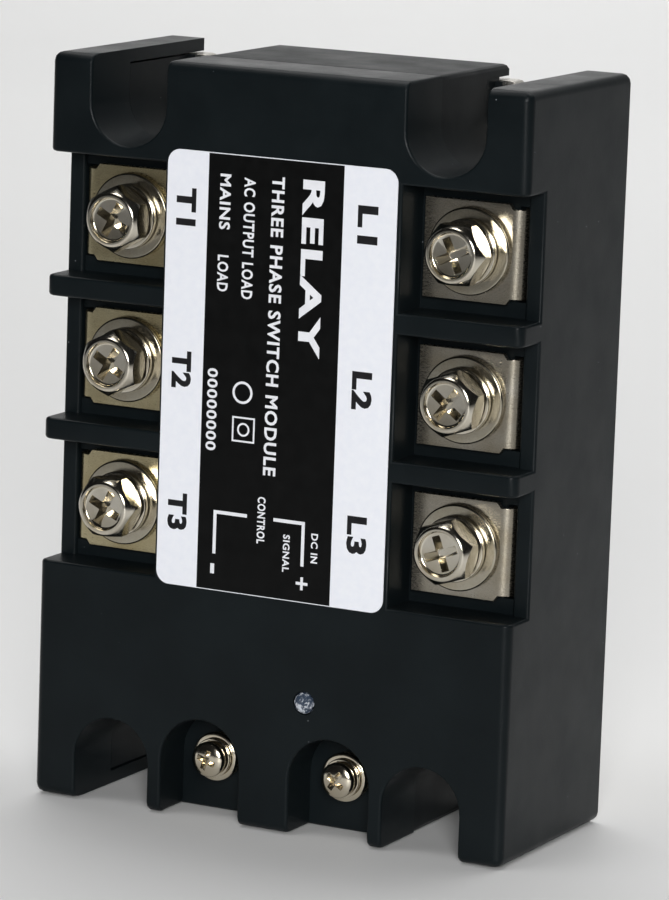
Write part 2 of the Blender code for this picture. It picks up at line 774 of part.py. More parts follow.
def build_optocoupler(name, z, mat):
    back = BOARD_FRONT - BOARD_AIR
    front = back - PACKAGE_THICK
    chip = block(PACKAGE_X, (front, back), (z - PACKAGE_HALF_Z, z + PACKAGE_HALF_Z))
    chip = round_edges(chip, PACKAGE_CHAMFER, 1,
                       lambda e: all(near(v.co.y, depth(front)) for v in e.verts))
    return finish(name, chip, mat)


def build_resistor(name, z, mat):
    """Film resistor lying along Z, thicker at its two end caps."""
    r = RESISTOR_RADIUS
    waist_end = RESISTOR_CAP - 0.4 * MM
    upper = [(r * 0.85, waist_end), (r, RESISTOR_CAP), (r * 0.9, RESISTOR_HALF),
             (0, RESISTOR_HALF)]
    lower = [(radius, -level) for radius, level in reversed(upper)]
    body = turned(lower + upper, 0, 0, 12)
    bmesh.ops.translate(body, vec=(0, -FRONT_Y, 0), verts=body.verts)
    bmesh.ops.rotate(body, matrix=Matrix.Rotation(math.radians(90), 3, "X"),
                     verts=body.verts)
    centre = depth(BOARD_FRONT - BOARD_AIR - r)
    bmesh.ops.translate(body, vec=(RESISTOR_X, centre, z), verts=body.verts)
    return finish(name, body, mat)


def build_power_stage(mats):
    """Ceramic with two thyristor chips back to back for every phase."""
    tile_back = PLATE_FRONT - CERAMIC_AIR
    tile_front = tile_back - CERAMIC_THICK
    chip_back = tile_front - BOARD_AIR
    half_x, half_z = CERAMIC_HALF
    for row, z in enumerate(ROW_Z, 1):
        tile = block((-half_x, half_x), (tile_front, tile_back), (z - half_z, z + half_z))
        finish(f"ceramic_{row}", tile, mats["ceramic"])
        for label, side in SIDES:
            x = side * CHIP_X
            chip = block((x - CHIP_HALF, x + CHIP_HALF), (chip_back - CHIP_THICK, chip_back),
                         (z - CHIP_HALF, z + CHIP_HALF))
            finish(f"thyristor_{label}_{row}", chip, mats["silicon"])


def main():
    clear_scene()
    black = material("black_plastic", (0.012, 0.014, 0.015), 0.45, 0.0)
    plated = material("nickel_plate", (0.66, 0.60, 0.50), 0.28, 1.0)
    steel = material("plated_steel", (0.68, 0.62, 0.53), 0.22, 1.0)
    base = material("base_metal", (0.62, 0.58, 0.52), 0.35, 1.0)
    mats = {
        "board": material("board_green", (0.02, 0.16, 0.07), 0.5, 0.0),
        "package": material("package_black", (0.02, 0.02, 0.022), 0.55, 0.0),
        "resistor": material("resistor_blue", (0.12, 0.28, 0.42), 0.4, 0.0),
        "ceramic": material("ceramic_white", (0.78, 0.77, 0.73), 0.5, 0.0),
        "silicon": material("silicon_grey", (0.30, 0.31, 0.34), 0.25, 0.6),
    }
    build_cover(black)
    build_rear_case(material("case_plastic", (0.011, 0.013, 0.014), 0.5, 0.0))
    build_base_plate(base)
    build_label(material("label_foil", (0.80, 0.81, 0.84), 0.4, 0.0))
    build_terminals(plated, steel)
    build_input_terminals(plated, steel)
    build_lamp(material("lamp_clear", (0.80, 0.84, 0.90), 0.1, 0.0))
    build_board(mats)
    build_power_stage(mats)


if __name__ == "__main__":
    main()
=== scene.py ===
"""Looks of a three-phase solid state relay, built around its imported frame.

The housing, busbars, base plate and inner parts keep their frame meshes and
get finished surfaces here. Screws, washers, label and lamp are modelled again
in fine detail, on the same axes. Lengths are in metres, written with MM.
"""
import json
import math

import bmesh
import bpy
from mathutils import Matrix, Vector

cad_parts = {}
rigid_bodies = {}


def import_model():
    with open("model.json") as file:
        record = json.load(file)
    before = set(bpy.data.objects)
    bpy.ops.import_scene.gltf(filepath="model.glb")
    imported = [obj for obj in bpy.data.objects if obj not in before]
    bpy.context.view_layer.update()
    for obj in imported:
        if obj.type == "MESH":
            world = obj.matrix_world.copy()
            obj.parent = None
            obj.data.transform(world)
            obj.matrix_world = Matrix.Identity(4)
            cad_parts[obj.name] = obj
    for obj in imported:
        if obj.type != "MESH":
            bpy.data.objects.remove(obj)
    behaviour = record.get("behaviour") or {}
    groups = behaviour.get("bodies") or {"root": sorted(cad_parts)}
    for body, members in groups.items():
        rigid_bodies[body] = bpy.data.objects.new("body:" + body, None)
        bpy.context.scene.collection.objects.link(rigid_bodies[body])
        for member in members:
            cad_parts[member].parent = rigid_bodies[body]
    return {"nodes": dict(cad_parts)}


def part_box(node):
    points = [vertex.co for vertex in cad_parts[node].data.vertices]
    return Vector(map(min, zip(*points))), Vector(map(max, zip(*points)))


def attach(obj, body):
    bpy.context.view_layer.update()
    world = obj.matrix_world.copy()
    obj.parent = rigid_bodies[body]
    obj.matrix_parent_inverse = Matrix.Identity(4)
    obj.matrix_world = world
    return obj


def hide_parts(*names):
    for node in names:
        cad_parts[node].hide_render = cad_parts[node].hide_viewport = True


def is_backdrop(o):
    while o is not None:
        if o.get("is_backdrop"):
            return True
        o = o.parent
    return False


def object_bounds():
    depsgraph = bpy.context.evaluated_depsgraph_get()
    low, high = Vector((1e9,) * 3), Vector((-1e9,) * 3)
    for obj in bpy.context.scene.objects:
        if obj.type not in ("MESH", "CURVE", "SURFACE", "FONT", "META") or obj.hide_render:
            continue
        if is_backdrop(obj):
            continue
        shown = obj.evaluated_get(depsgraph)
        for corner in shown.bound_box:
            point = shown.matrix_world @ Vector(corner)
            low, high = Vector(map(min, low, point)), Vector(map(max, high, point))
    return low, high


MM = 0.001

# Camera, worked out from the edges of the housing
CAMERA_PLACE = Vector((306.6, -598.8, 173.9)) * MM
CAMERA_AZIMUTH = math.radians(28.08)
CAMERA_ELEVATION = math.radians(9.80)
CAMERA_ROLL = math.radians(1.84)
CAMERA_LENS = 196.99
CAMERA_SHIFT = (0.0994, -0.0556)

# Load screws: hexagon head with a dished top and a cross recess
HEAD_FLAT = 4.0 * MM
HEAD_THICK = 3.95 * MM
HEAD_TURNS = {"left_1": 0, "left_2": -3, "left_3": 32,
              "right_1": 30, "right_2": 50, "right_3": 48}
RECESS_TURNS = {"left_1": 28, "left_2": 31, "left_3": 26,
                "right_1": -24, "right_2": 38, "right_3": -20}
SHANK_RADIUS = 2.5 * MM
THREAD_PITCH = 0.8 * MM
SPRING_GAP = math.radians(9)
DISH_RADIUS = 3.14 * MM
HEX_RECESS = (6.3 * MM, 1.45 * MM)
HEX_RECESS_DEPTH = 2.6 * MM
LOAD_BORES = (2.8 * MM, 2.75 * MM)

# Input screws: small pan heads
PAN_RADIUS = 2.45 * MM
PAN_THICK = 1.55 * MM
PAN_DOME = 0.85 * MM
PAN_RECESS = (3.7 * MM, 1.0 * MM)
PAN_RECESS_DEPTH = 1.25 * MM
PAN_TURNS = {"minus": 20, "plus": 35}
INPUT_SHANK = 1.5 * MM
INPUT_PITCH = 0.5 * MM
INPUT_BORES = (1.7 * MM, 1.65 * MM)

# Cross recesses start above the head and shrink towards their bottom
RECESS_START = -0.5 * MM
RECESS_TIP_SCALE = 0.42
RECESS_WAIST_SCALE = 0.62

# Label: white foil with a black printed middle
STRIP_EDGES = (-11.15 * MM, 9.5 * MM)
LABEL_RADIUS = 1.9 * MM
FOIL = 0.16 * MM
INK = 0.012 * MM
BRIGHT_EDGE = 0.12 * MM
MARK_Z = (85.4 * MM, 62.9 * MM, 43.1 * MM)
MARK_COLUMNS = (("T", -14.5 * MM), ("L", 13.25 * MM))
BRACKET_LINE = 0.48 * MM
BRACKET_TOP = 43.5 * MM
BRACKET_LEFT = -8.8 * MM
BRACKET_RIGHT = 5.35 * MM

# Status lamp
LAMP_RADIUS = 1.5 * MM
LAMP_DOME = 1.05 * MM

# Stage: flat floor, quarter round, straight wall
STAGE_HALF_WIDTH = 3.0
STAGE_FRONT = -1.6
CURVE_START = 0.9
CURVE_RADIUS = 0.7
STAGE_TOP = 2.4
FLOOR_GAP = 0.0002

# Shading and mesh steps
SHARP_EDGE = 50
WELD_DISTANCE = 0.002 * MM
ROUND = 96
RING = 72


# ---------------------------------------------------------------- materials

class Surface:
    """A material with its shader, and short ways to add nodes to it."""

    def __init__(self, name, colour, roughness, metallic=0.0):
        self.material = bpy.data.materials.new(name)
        self.material.use_nodes = True
        self.tree = self.material.node_tree
        self.shader = self.tree.nodes["Principled BSDF"]
        self.set("Base Color", (*colour, 1.0))
        self.set("Roughness", roughness)
        self.set("Metallic", metallic)
        self.place = self.add("ShaderNodeTexCoord").outputs["Object"]

    def set(self, socket, value):
        self.shader.inputs[socket].default_value = value

    def add(self, kind, **values):
        node = self.tree.nodes.new(kind)
        for key, value in values.items():
            setattr(node, key, value)
        return node

    def link(self, output, socket):
        self.tree.links.new(output, socket)

    def noise(self, per_metre, detail=3.0, roughness=0.55, stretch=(1, 1, 1)):
        mapping = self.add("ShaderNodeMapping")
        mapping.inputs["Scale"].default_value = stretch
        self.link(self.place, mapping.inputs["Vector"])
        node = self.add("ShaderNodeTexNoise")
        node.inputs["Scale"].default_value = per_metre
        node.inputs["Detail"].default_value = detail
        node.inputs["Roughness"].default_value = roughness
        self.link(mapping.outputs["Vector"], node.inputs["Vector"])
        return node.outputs["Fac"]

    def remap(self, value, low, high, out_low=0.0, out_high=1.0):
        node = self.add("ShaderNodeMapRange")
        node.inputs["From Min"].default_value = low
        node.inputs["From Max"].default_value = high
        node.inputs["To Min"].default_value = out_low
        node.inputs["To Max"].default_value = out_high
        self.link(value, node.inputs["Value"])
        return node.outputs["Result"]

    def math(self, operation, first, second):
        node = self.add("ShaderNodeMath", operation=operation)
        for index, value in enumerate((first, second)):
            if isinstance(value, (int, float)):
                node.inputs[index].default_value = value
            else:
                self.link(value, node.inputs[index])
        return node.outputs["Value"]

    def mix(self, factor, first, second):
        """Colour between two colours or colour outputs."""
        node = self.add("ShaderNodeMix", data_type="RGBA")
        self.link(factor, node.inputs["Factor"])
        for socket, value in (("A", first), ("B", second)):
            target = [s for s in node.inputs if s.name == socket and s.type == "RGBA"][0]
            if isinstance(value, tuple):
                target.default_value = (*value, 1.0)
            else:
                self.link(value, target)
        return [s for s in node.outputs if s.type == "RGBA"][0]

    def specks(self, per_metre, size, share):
        """Sparse dots: one in some of the cells of a Voronoi pattern."""
        cells = self.add("ShaderNodeTexVoronoi")
        cells.inputs["Scale"].default_value = per_metre
        self.link(self.place, cells.inputs["Vector"])
        dot = self.remap(cells.outputs["Distance"], size, size * 0.5)
        parts = self.add("ShaderNodeSeparateColor")
        self.link(cells.outputs["Color"], parts.inputs["Color"])
        chosen = self.math("LESS_THAN", parts.outputs["Red"], share)
        return self.math("MULTIPLY", dot, chosen)

    def bump(self, height, depth, strength=1.0, below=None):
        node = self.add("ShaderNodeBump")
        node.inputs["Distance"].default_value = depth
        node.inputs["Strength"].default_value = strength
        self.link(height, node.inputs["Height"])
        if below is not None:
            self.link(below, node.inputs["Normal"])
        self.link(node.outputs["Normal"], self.shader.inputs["Normal"])
        return node.outputs["Normal"]

    def colour(self, output):
        self.link(output, self.shader.inputs["Base Color"])

    def rough(self, output):
        self.link(output, self.shader.inputs["Roughness"])


def black_plastic(name, dark, light, roughness):
    """Spark-eroded moulding: satin, faintly mottled, a little dust on it."""
    look = Surface(name, dark, roughness)
    look.set("IOR", 1.48)
    look.set("Specular IOR Level", 0.13)
    cloud = look.remap(look.noise(70, 4), 0.35, 0.65)
    tone = look.mix(cloud, dark, light)
    dust = look.specks(330, 0.032, 0.5)
    look.colour(look.mix(dust, tone, (0.24, 0.26, 0.28)))
    patch = look.noise(140, 5, 0.6)
    look.rough(look.remap(patch, 0.3, 0.7, roughness - 0.05, roughness + 0.07))
    grain = look.noise(5200, 2, 0.6)
    waves = look.noise(90, 2)
    rippled = look.bump(waves, 0.25 * MM, 0.25)
    look.bump(grain, 0.02 * MM, 0.9, rippled)
    return look.material


def nickel(name, colour, roughness, stretch=(1, 1, 1), pits=0.0, stain=(0.80, 0.76, 0.68)):
    """Nickel plating with cloudy tint, fine scratches and a few pits."""
    look = Surface(name, colour, roughness, 1.0)
    stained = tuple(c * t for c, t in zip(colour, stain))
    cloud = look.remap(look.noise(160, 4), 0.38, 0.70)
    look.colour(look.mix(cloud, colour, stained))
    scratch = look.noise(2600, 3, 0.7, stretch)
    look.rough(look.remap(scratch, 0.3, 0.75, roughness * 0.7, roughness * 1.45))
    lines = look.bump(scratch, 0.004 * MM, 0.6)
    if pits:
        dents = look.specks(900, 0.16, pits)
        look.bump(dents, -0.02 * MM, 0.8, lines)
    return look.material


def label_foil():
    look = Surface("label_foil", (0.80, 0.82, 0.87), 0.38)
    look.set("Coat Weight", 0.25)
    look.set("Coat Roughness", 0.22)
    fibre = look.noise(900, 4)
    look.colour(look.mix(look.remap(fibre, 0.3, 0.7),
                         (0.79, 0.81, 0.87), (0.83, 0.845, 0.89)))
    look.bump(look.noise(160, 3), 0.03 * MM, 0.3)
    return look.material


def printed_ink(name, colour, worn):
    look = Surface(name, colour, 0.36)
    look.set("Specular IOR Level", 0.12)
    cloud = look.remap(look.noise(420, 5), 0.35, 0.7)
    look.colour(look.mix(cloud, colour, worn))
    look.rough(look.remap(look.noise(700, 4), 0.3, 0.7, 0.32, 0.45))
    look.bump(look.noise(170, 3), 0.03 * MM, 0.3)
    return look.material


def clear_lens():
    """Water-clear lens; the dark and bright patches in its colour are painted reflection and
    painted glints.
    """
    look = Surface("lamp_lens", (0.5, 0.55, 0.6), 0.12)
    look.set("IOR", 1.5)
    look.set("Transmission Weight", 0.35)
    facet_bump_and_painted_glints = look.noise(1500, 2, 0.6)
    # Painted glints: bright patches over a painted dark reflection colour
    painted_glint_mask = look.remap(facet_bump_and_painted_glints, 0.50, 0.62)
    look.colour(look.mix(painted_glint_mask, (0.06, 0.085, 0.13), (0.85, 0.90, 0.98)))
    look.rough(look.remap(look.noise(1700, 4), 0.3, 0.7, 0.04, 0.2))
    look.bump(facet_bump_and_painted_glints, 0.4 * MM, 0.9)
    return look.material


def glass_epoxy():
    """Green solder mask with paler copper areas."""
    look = Surface("board_mask", (0.02, 0.15, 0.07), 0.4)
    areas = look.add("ShaderNodeTexVoronoi", feature="DISTANCE_TO_EDGE")
    areas.inputs["Scale"].default_value = 260
    look.link(look.place, areas.inputs["Vector"])
    copper = look.remap(areas.outputs["Distance"], 0.10, 0.14)
    look.colour(look.mix(copper, (0.012, 0.10, 0.045), (0.03, 0.20, 0.085)))
    look.bump(copper, 0.03 * MM)
    return look.material


def moulded_package(name, colour):
    look = Surface(name, colour, 0.55)
    pale = tuple(c * 1.6 for c in colour)
    look.colour(look.mix(look.noise(2500, 3), colour, pale))
    look.bump(look.noise(4000, 3), 0.01 * MM)
    return look.material


def banded_lacquer():
    """Resistor body: blue lacquer with coloured rings across it."""
    look = Surface("resistor_lacquer", (0.12, 0.30, 0.45), 0.3)
    look.set("Coat Weight", 0.6)
    wave = look.add("ShaderNodeTexWave", bands_direction="Z")
    wave.inputs["Scale"].default_value = 190
    look.link(look.place, wave.inputs["Vector"])
    ring = look.remap(wave.outputs["Fac"], 0.86, 0.92)
    look.colour(look.mix(ring, (0.12, 0.30, 0.45), (0.45, 0.18, 0.05)))
    look.bump(look.noise(1200, 2), 0.03 * MM, 0.4)
    return look.material


def fired_ceramic():
    look = Surface("ceramic_tile", (0.78, 0.77, 0.73), 0.5)
    look.colour(look.mix(look.noise(800, 5), (0.70, 0.69, 0.65), (0.84, 0.83, 0.80)))
    look.bump(look.noise(5000, 3), 0.01 * MM)
    return look.material


def metallised_chip():
    look = Surface("chip_metal", (0.42, 0.43, 0.46), 0.3, 0.8)
    look.colour(look.mix(look.noise(1500, 3), (0.36, 0.37, 0.40), (0.50, 0.51, 0.54)))
    look.bump(look.noise(6000, 2), 0.006 * MM)
    return look.material


def stage_paper():
    look = Surface("stage_paper", (0.80, 0.80, 0.80), 0.6)
    look.colour(look.mix(look.noise(9, 3), (0.79, 0.79, 0.785), (0.81, 0.81, 0.805)))
    look.bump(look.noise(2500, 3), 0.01 * MM, 0.5)
    return look.material


# ---------------------------------------------------------------- mesh tools

def lathe(profile, segments=ROUND):
    """Closed solid turned about the Y axis from (radius, y) points."""
    bm = bmesh.new()
    rings = []
    for radius, y in profile:
        if radius == 0:
            rings.append([bm.verts.new((0, y, 0))])
            continue
        ring = []
        for i in range(segments):
            angle = 2 * math.pi * i / segments
            ring.append(bm.verts.new((radius * math.cos(angle), y, radius * math.sin(angle))))
        rings.append(ring)
    hollow = len(rings[0]) > 1
    pairs = list(zip(rings, rings[1:]))
    if hollow:
        pairs.append((rings[-1], rings[0]))
    for first, second in pairs:
        bridge(bm, first, second, segments)
    bmesh.ops.recalc_face_normals(bm, faces=bm.faces)
    return bm


def bridge(bm, first, second, segments):
    for i in range(segments):
        j = (i + 1) % segments
        if len(first) == 1:
            bm.faces.new((first[0], second[i], second[j]))
        elif len(second) == 1:
            bm.faces.new((first[i], first[j], second[0]))
        else:
            bm.faces.new((first[i], first[j], second[j], second[i]))


def prism(outline, front, back):
    """Closed solid between two Y values with an outline of (x, z) points."""
    bm = bmesh.new()
    near = [bm.verts.new((x, front, z)) for x, z in outline]
    far = [bm.verts.new((x, back, z)) for x, z in outline]
    bm.faces.new(near)
    bm.faces.new(far[::-1])
    count = len(outline)
    for i in range(count):
        j = (i + 1) % count
        bm.faces.new((near[i], far[i], far[j], near[j]))
    bmesh.ops.recalc_face_normals(bm, faces=bm.faces)
    return bm


def regular(sides, flat, turn):
    radius = flat / math.cos(math.pi / sides)
    points = []
    for i in range(sides):
        angle = turn + 2 * math.pi * (i + 0.5) / sides
        points.append((radius * math.cos(angle), radius * math.sin(angle)))
    return points


def rounded_box(low, high, radius, steps=10):
    """Outline of a rectangle with round corners, as (x, z) points."""
    corners = (((high[0] - radius), (high[1] - radius), 0),
               ((low[0] + radius), (high[1] - radius), 90),
               ((low[0] + radius), (low[1] + radius), 180),
               ((high[0] - radius), (low[1] + radius), 270))
    points = []
    for x, z, start in corners:
        for i in range(steps + 1):
            angle = math.radians(start + 90 * i / steps)
            points.append((x + radius * math.cos(angle), z + radius * math.sin(angle)))
    return points


def to_object(name, bm, look=None):
    mesh = bpy.data.meshes.new(name)
    bm.to_mesh(mesh)
    bm.free()
    obj = bpy.data.objects.new(name, mesh)
    bpy.context.scene.collection.objects.link(obj)
    if look is not None:
        mesh.materials.append(look)
    return obj


def boolean(base, tool, operation):
    """Result of a Boolean on two bmesh solids, as a new bmesh."""
    first = to_object("solid", base)
    second = to_object("tool", tool)
    modifier = first.modifiers.new("cut", "BOOLEAN")
    modifier.operation = operation
    modifier.solver = "EXACT"
    modifier.object = second
    graph = bpy.context.evaluated_depsgraph_get()
    result = bmesh.new()
    result.from_object(first, graph)
    for item in (first, second):
        mesh = item.data
        bpy.data.objects.remove(item, do_unlink=True)
        bpy.data.meshes.remove(mesh)
    bmesh.ops.remove_doubles(result, verts=result.verts, dist=0.003 * MM)
    bmesh.ops.dissolve_limit(result, angle_limit=math.radians(0.5),
                             verts=result.verts, edges=result.edges)
    return result


def merge(parts, name, look):
    """One object from several closed bmesh solids."""
    whole = bmesh.new()
    for part in parts:
        mesh = bpy.data.meshes.new("part")
        part.to_mesh(mesh)
        part.free()
        whole.from_mesh(mesh)
        bpy.data.meshes.remove(mesh)
    return to_object(name, whole, look)


def soften(obj, width, segments=3, angle=32, weld=False):
    """Rounded edges with clean shading, as modifiers."""
    obj.data.shade_smooth()
    if weld:
        joined = obj.modifiers.new("weld", "WELD")
        joined.merge_threshold = WELD_DISTANCE
    if width:
        edge = obj.modifiers.new("edges", "BEVEL")
        edge.width = width
        edge.segments = segments
        edge.limit_method = "ANGLE"
        edge.angle_limit = math.radians(angle)
        edge.use_clamp_overlap = True
        edge.harden_normals = False
    normals = obj.modifiers.new("normals", "WEIGHTED_NORMAL")
    normals.mode = "FACE_AREA"
    normals.weight = 90
    normals.keep_sharp = True


def smooth_by_angle(obj, degrees):
    """Weld a frame node's split corners and shade it smooth below an angle."""
    group = bpy.data.node_groups.new(obj.name + "_shading", "GeometryNodeTree")
    group.interface.new_socket("Geometry", in_out="INPUT", socket_type="NodeSocketGeometry")
    group.interface.new_socket("Geometry", in_out="OUTPUT", socket_type="NodeSocketGeometry")
    nodes, links = group.nodes, group.links
    start = nodes.new("NodeGroupInput")
    end = nodes.new("NodeGroupOutput")
    weld = nodes.new("GeometryNodeMergeByDistance")
    weld.inputs["Distance"].default_value = WELD_DISTANCE
    smooth = nodes.new("GeometryNodeSetShadeSmooth")
    sharp = nodes.new("GeometryNodeSetShadeSmooth")
    sharp.domain = "EDGE"
    sharp.inputs["Shade Smooth"].default_value = False
    angle = nodes.new("GeometryNodeInputMeshEdgeAngle")
    wide = nodes.new("FunctionNodeCompare")
    wide.operation = "GREATER_THAN"
    wide.inputs[1].default_value = math.radians(degrees)
    links.new(start.outputs[0], weld.inputs["Geometry"])
    links.new(weld.outputs["Geometry"], smooth.inputs["Geometry"])
    links.new(smooth.outputs["Geometry"], sharp.inputs["Geometry"])
    links.new(angle.outputs["Unsigned Angle"], wide.inputs[0])
    links.new(wide.outputs["Result"], sharp.inputs["Selection"])
    links.new(sharp.outputs["Geometry"], end.inputs[0])
    modifier = obj.modifiers.new("shading", "NODES")
    modifier.node_group = group
    normals = obj.modifiers.new("normals", "WEIGHTED_NORMAL")
    normals.mode = "FACE_AREA"
    normals.keep_sharp = True


# ---------------------------------------------------------------- screws

def thread(radius, pitch, front, back, segments=32):
    """Threaded rod between two Y values, its groove running as a helix."""
    bm = bmesh.new()
    groove = pitch * 0.5
    steps = int((back - front) / (pitch / 4)) + 1
    rings = []
    for k in range(steps + 1):
        y = front + (back - front) * k / steps
        ring = []
        for i in range(segments):
            turn = i / segments
            phase = (y / pitch + turn) % 1.0
            fade = min(1.0, (back - y) / pitch)
            r = radius - groove * abs(2 * phase - 1) - (1 - fade) * groove
            angle = 2 * math.pi * turn
            ring.append(bm.verts.new((r * math.cos(angle), y, r * math.sin(angle))))
        rings.append(ring)
    for first, second in zip(rings, rings[1:]):
        bridge(bm, first, second, segments)
    bm.faces.new(rings[0])
    bm.faces.new(rings[-1][::-1])
    bmesh.ops.recalc_face_normals(bm, faces=bm.faces)
    return bm


def cross_cutter(size, depth, turn):
    """Tool for a cross recess that narrows towards its bottom."""
    length, width = size

    def arm(long_x, long_z):
        outline = [(-long_x / 2, -long_z / 2), (long_x / 2, -long_z / 2),
                   (long_x / 2, long_z / 2), (-long_x / 2, long_z / 2)]
        return prism(outline, RECESS_START, depth)

    tool = boolean(arm(length, width), arm(width, length), "UNION")
    for vert in tool.verts:
        if abs(vert.co.y - depth) < 0.01 * MM:
            at_tip = max(abs(vert.co.x), abs(vert.co.z)) > width
            factor = RECESS_TIP_SCALE if at_tip else RECESS_WAIST_SCALE
            vert.co.x *= factor
            vert.co.z *= factor
    bmesh.ops.rotate(tool, verts=tool.verts, cent=(0, 0, 0),
                     matrix=Matrix.Rotation(math.radians(turn), 3, "Y"))
    return tool


def hex_head(turn, recess_turn):
    """Head with its front at y = 0: chamfered hexagon, round rim, dish, cross."""
    head = prism(regular(6, HEAD_FLAT, math.radians(turn)), 0, HEAD_THICK)
    corner = HEAD_FLAT / math.cos(math.pi / 6) + 0.1 * MM
    shell = [(0, 0.0), (3.36 * MM, 0.0), (3.60 * MM, 0.08 * MM),
             (3.80 * MM, 0.28 * MM), (corner, 1.55 * MM), (corner, HEAD_THICK - 1.2 * MM),
             (HEAD_FLAT, HEAD_THICK - 0.05 * MM), (0, HEAD_THICK - 0.05 * MM)]
    head = boolean(head, lathe(shell), "INTERSECT")
    dish = [(0, -1 * MM), (DISH_RADIUS, -1 * MM), (DISH_RADIUS, 0.02 * MM),
            (3.00 * MM, 0.22 * MM), (2.92 * MM, 0.50 * MM), (2.72 * MM, 0.62 * MM),
            (0, 0.66 * MM)]
    head = boolean(head, lathe(dish), "DIFFERENCE")
    tool = cross_cutter(HEX_RECESS, HEX_RECESS_DEPTH, recess_turn)
    return boolean(head, tool, "DIFFERENCE")


def pan_head(turn):
    """Small domed head with its front at y = 0 and a cross recess."""
    profile = [(0, 0.0)]
    for i in range(1, 13):
        angle = math.radians(90 * i / 12)
        profile.append((PAN_RADIUS * math.sin(angle), PAN_DOME * (1 - math.cos(angle))))
    profile += [(PAN_RADIUS, PAN_THICK - 0.1 * MM), (PAN_RADIUS - 0.1 * MM, PAN_THICK),
                (0, PAN_THICK)]
    head = lathe(profile)
    tool = cross_cutter(PAN_RECESS, PAN_RECESS_DEPTH, turn)
    return boolean(head, tool, "DIFFERENCE")


def flat_ring(outer, inner, thick):
    """Stamped washer: rolled front edge, square back edge."""
    edge = 0.16 * MM
    profile = [(inner, thick), (inner, edge), (inner + edge, 0), (outer - 1.6 * edge, 0),
               (outer - 0.6 * edge, 0.3 * edge), (outer, 1.3 * edge), (outer, thick)]
    return lathe(profile)


def split_ring(outer, inner, thick, gap_at):
    """Spring washer: square wire with rounded corners, cut and a little sprung."""
    bm = bmesh.new()
    rise = 0.12 * MM
    corner = 0.12 * MM
    section = rounded_box((inner, rise), (outer, thick - rise), corner, 3)
    rings = []
    for k in range(RING + 1):
        share = k / RING
        angle = gap_at + SPRING_GAP / 2 + (2 * math.pi - SPRING_GAP) * share
        lift = rise * (2 * share - 1)
        ring = []
        for radius, y in section:
            ring.append(bm.verts.new((radius * math.cos(angle), y + lift,
                                      radius * math.sin(angle))))
        rings.append(ring)
    for first, second in zip(rings, rings[1:]):
        bridge(bm, first, second, len(section))
    bm.faces.new(rings[0])
    bm.faces.new(rings[-1][::-1])
    bmesh.ops.recalc_face_normals(bm, faces=bm.faces)
    return bm


def place(obj, node, body):
    """Stand a detailed piece on its node's axis, at the node's front."""
    low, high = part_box(node)
    middle = (low + high) / 2
    obj.location = (middle.x, low.y, middle.z)
    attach(obj, body)
    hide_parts(node)


def build_load_screws(look):
    for tag in HEAD_TURNS:
        node = f"screw_{tag}"
        low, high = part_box(node)
        head = hex_head(HEAD_TURNS[tag], RECESS_TURNS[tag])
        rod = thread(SHANK_RADIUS, THREAD_PITCH, HEAD_THICK - 0.4 * MM, high.y - low.y)
        screw = merge((head, rod), f"hex_screw_{tag}", look)
        soften(screw, 0.07 * MM)
        place(screw, node, f"driver_{tag}")


def build_input_screws(look):
    for tag in PAN_TURNS:
        node = f"input_screw_{tag}"
        low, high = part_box(node)
        rod = thread(INPUT_SHANK, INPUT_PITCH, PAN_THICK - 0.2 * MM, high.y - low.y, 24)
        screw = merge((pan_head(PAN_TURNS[tag]), rod), f"pan_screw_{tag}", look)
        soften(screw, 0.05 * MM)
        place(screw, node, f"driver_{tag}")


def build_washers(looks, prefix, tags, bores):
    """Flat and spring washers at the size of their nodes."""
    for index, tag in enumerate(tags):
        for kind, bore, look in zip(("flat_washer", "spring_washer"), bores, looks):
            node = f"{prefix}{kind}_{tag}"
            low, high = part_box(node)
            outer = (high.x - low.x) / 2
            thick = high.y - low.y
            if kind == "flat_washer":
                ring = flat_ring(outer, bore, thick)
            else:
                ring = split_ring(outer, bore, thick, math.radians(205 + 9 * index))
            piece = to_object(f"{prefix}{kind}_fine_{tag}", ring, look)
            soften(piece, 0)
            place(piece, node, f"washers_{tag}")


# ---------------------------------------------------------------- label

def lettering(text, x, z, height, length, weight):
    """Letters reading downwards, centred on (x, z), as a bmesh at y = 0."""
    curve = bpy.data.curves.new("letters", "FONT")
    curve.body = text
    curve.size = 1.0
    curve.offset = weight
    curve.extrude = 0.02
    curve.resolution_u = 3
    curve.space_character = 1.12
    obj = bpy.data.objects.new("letters", curve)
    bpy.context.scene.collection.objects.link(obj)
    bpy.context.view_layer.update()
    mesh = bpy.data.meshes.new_from_object(obj.evaluated_get(
        bpy.context.evaluated_depsgraph_get()))
    bm = bmesh.new()
    bm.from_mesh(mesh)
    bpy.data.objects.remove(obj, do_unlink=True)
    bpy.data.curves.remove(curve)
    bpy.data.meshes.remove(mesh)
    low = Vector(min(v.co[i] for v in bm.verts) for i in range(3))
    high = Vector(max(v.co[i] for v in bm.verts) for i in range(3))
    size = high - low
    for vert in bm.verts:
        along = ((vert.co.x - low.x) / size.x - 0.5) * length
        up = ((vert.co.y - low.y) / size.y - 0.5) * height
        out = (vert.co.z - low.z) / size.z * INK
        vert.co = Vector((x + up, -out, z - along))
    bmesh.ops.recalc_face_normals(bm, faces=bm.faces)
    return bm


def bar(x, z):
    """Printed bar between two x values and two z values."""
    outline = [(x[0], z[0]), (x[1], z[0]), (x[1], z[1]), (x[0], z[1])]
    return prism(outline, -INK, 0)


def ring_mark(x, z, radius, width):
    """Plain ring, a neutral mark."""
    bm = lathe([(radius - width, 0), (radius - width, -INK), (radius, -INK), (radius, 0)], 40)
    bmesh.ops.translate(bm, vec=(x, 0, z), verts=bm.verts)
    return bm


def frame_mark(x, z, half, width):
    """Plain square outline made of four bars."""
    inner = half - width
    yield bar((x - half, x + half), (z + inner, z + half))
    yield bar((x - half, x + half), (z - half, z - inner))
    yield bar((x - half, x - inner), (z - inner, z + inner))
    yield bar((x + inner, x + half), (z - inner, z + inner))


